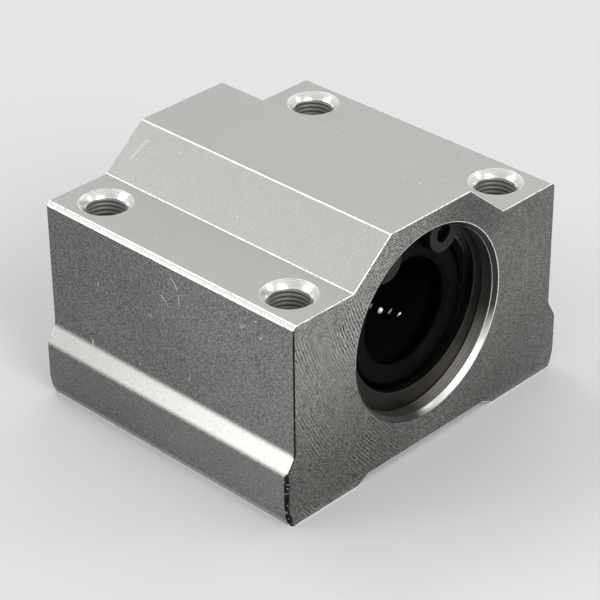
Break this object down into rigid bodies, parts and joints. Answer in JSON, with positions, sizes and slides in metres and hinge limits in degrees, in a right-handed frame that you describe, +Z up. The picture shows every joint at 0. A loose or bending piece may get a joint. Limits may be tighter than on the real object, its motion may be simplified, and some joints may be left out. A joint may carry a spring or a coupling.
{
  "type": "linear bearing block",
  "caption": "Extruded aluminium pillow block with countersunk bolt holes and a sealed linear ball bearing held by bore circlips.",
  "frame": {"origin": "on the shaft axis, at the middle of the block's length", "axes": "+X along the shaft axis out of the front end, +Y across the block, +Z up from the mounting base"},
  "size_m": [0.036, 0.042, 0.028],
  "materials": {
    "housing_aluminium": "bare extruded and milled",
    "sleeve_steel": "ground bearing steel",
    "cage_resin": "moulded black",
    "ring_steel": "spring steel",
    "seal_rubber": "moulded black rubber",
    "circlip_steel": "dark phosphated spring steel",
    "ball_steel": "polished bearing steel"
  },
  "bodies": {
    "block": {"housing": "housing_aluminium", "bearing_sleeve": "sleeve_steel", "ball_cage": "cage_resin", "side_ring_front": "ring_steel", "side_ring_rear": "ring_steel", "seal_front": "seal_rubber", "seal_rear": "seal_rubber", "circlip_front": "circlip_steel", "circlip_rear": "circlip_steel"},
    "load_row_1": {"load_balls_1": "ball_steel"},
    "return_row_1": {"return_balls_1": "ball_steel"},
    "front_turn_1": {"front_turn_balls_1": "ball_steel"},
    "rear_turn_1": {"rear_turn_balls_1": "ball_steel"},
    "load_row_2": {"load_balls_2": "ball_steel"},
    "return_row_2": {"return_balls_2": "ball_steel"},
    "front_turn_2": {"front_turn_balls_2": "ball_steel"},
    "rear_turn_2": {"rear_turn_balls_2": "ball_steel"},
    "load_row_3": {"load_balls_3": "ball_steel"},
    "return_row_3": {"return_balls_3": "ball_steel"},
    "front_turn_3": {"front_turn_balls_3": "ball_steel"},
    "rear_turn_3": {"rear_turn_balls_3": "ball_steel"},
    "load_row_4": {"load_balls_4": "ball_steel"},
    "return_row_4": {"return_balls_4": "ball_steel"},
    "front_turn_4": {"front_turn_balls_4": "ball_steel"},
    "rear_turn_4": {"rear_turn_balls_4": "ball_steel"}
  },
  "joints": [
    {"name": "circuit_1_load_row", "type": "slide", "parent": "block", "child": "load_row_1", "axis": [1, 0, 0], "range_m": [-0.00134, 0.00134]},
    {"name": "circuit_1_return_row", "type": "slide", "parent": "block", "child": "return_row_1", "axis": [1, 0, 0], "range_m": [-0.00134, 0.00134]},
    {"name": "circuit_1_front_turn", "type": "hinge", "parent": "block", "child": "front_turn_1", "pos_m": [0.00803, 0.00606, -0.00437], "axis": [0, -0.6225, 0.7826], "range_deg": [-45, 45]},
    {"name": "circuit_1_rear_turn", "type": "hinge", "parent": "block", "child": "rear_turn_1", "pos_m": [-0.00803, 0.00606, -0.00437], "axis": [0, -0.6225, 0.7826], "range_deg": [-45, 45]},
    {"name": "circuit_2_load_row", "type": "slide", "parent": "block", "child": "load_row_2", "axis": [1, 0, 0], "range_m": [-0.00134, 0.00134]},
    {"name": "circuit_2_return_row", "type": "slide", "parent": "block", "child": "return_row_2", "axis": [1, 0, 0], "range_m": [-0.00134, 0.00134]},
    {"name": "circuit_2_front_turn", "type": "hinge", "parent": "block", "child": "front_turn_2", "pos_m": [0.00803, 0.00437, 0.00606], "axis": [0, -0.7826, -0.6225], "range_deg": [-45, 45]},
    {"name": "circuit_2_rear_turn", "type": "hinge", "parent": "block", "child": "rear_turn_2", "pos_m": [-0.00803, 0.00437, 0.00606], "axis": [0, -0.7826, -0.6225], "range_deg": [-45, 45]},
    {"name": "circuit_3_load_row", "type": "slide", "parent": "block", "child": "load_row_3", "axis": [1, 0, 0], "range_m": [-0.00134, 0.00134]},
    {"name": "circuit_3_return_row", "type": "slide", "parent": "block", "child": "return_row_3", "axis": [1, 0, 0], "range_m": [-0.00134, 0.00134]},
    {"name": "circuit_3_front_turn", "type": "hinge", "parent": "block", "child": "front_turn_3", "pos_m": [0.00803, -0.00606, 0.00437], "axis": [0, 0.6225, -0.7826], "range_deg": [-45, 45]},
    {"name": "circuit_3_rear_turn", "type": "hinge", "parent": "block", "child": "rear_turn_3", "pos_m": [-0.00803, -0.00606, 0.00437], "axis": [0, 0.6225, -0.7826], "range_deg": [-45, 45]},
    {"name": "circuit_4_load_row", "type": "slide", "parent": "block", "child": "load_row_4", "axis": [1, 0, 0], "range_m": [-0.00134, 0.00134]},
    {"name": "circuit_4_return_row", "type": "slide", "parent": "block", "child": "return_row_4", "axis": [1, 0, 0], "range_m": [-0.00134, 0.00134]},
    {"name": "circuit_4_front_turn", "type": "hinge", "parent": "block", "child": "front_turn_4", "pos_m": [0.00803, -0.00437, -0.00606], "axis": [0, 0.7826, 0.6225], "range_deg": [-45, 45]},
    {"name": "circuit_4_rear_turn", "type": "hinge", "parent": "block", "child": "rear_turn_4", "pos_m": [-0.00803, -0.00437, -0.00606], "axis": [0, 0.7826, 0.6225], "range_deg": [-45, 45]}
  ],
  "couplings": [
    {"joint": "circuit_1_return_row", "follows": "circuit_1_load_row", "ratio": -1},
    {"joint": "circuit_1_front_turn", "follows": "circuit_1_load_row", "rad_per_m": 586.57},
    {"joint": "circuit_1_rear_turn", "follows": "circuit_1_load_row", "rad_per_m": 586.57},
    {"joint": "circuit_2_return_row", "follows": "circuit_2_load_row", "ratio": -1},
    {"joint": "circuit_2_front_turn", "follows": "circuit_2_load_row", "rad_per_m": 586.57},
    {"joint": "circuit_2_rear_turn", "follows": "circuit_2_load_row", "rad_per_m": 586.57},
    {"joint": "circuit_3_return_row", "follows": "circuit_3_load_row", "ratio": -1},
    {"joint": "circuit_3_front_turn", "follows": "circuit_3_load_row", "rad_per_m": 586.57},
    {"joint": "circuit_3_rear_turn", "follows": "circuit_3_load_row", "rad_per_m": 586.57},
    {"joint": "circuit_4_return_row", "follows": "circuit_4_load_row", "ratio": -1},
    {"joint": "circuit_4_front_turn", "follows": "circuit_4_load_row", "rad_per_m": 586.57},
    {"joint": "circuit_4_rear_turn", "follows": "circuit_4_load_row", "rad_per_m": 586.57}
  ]
}
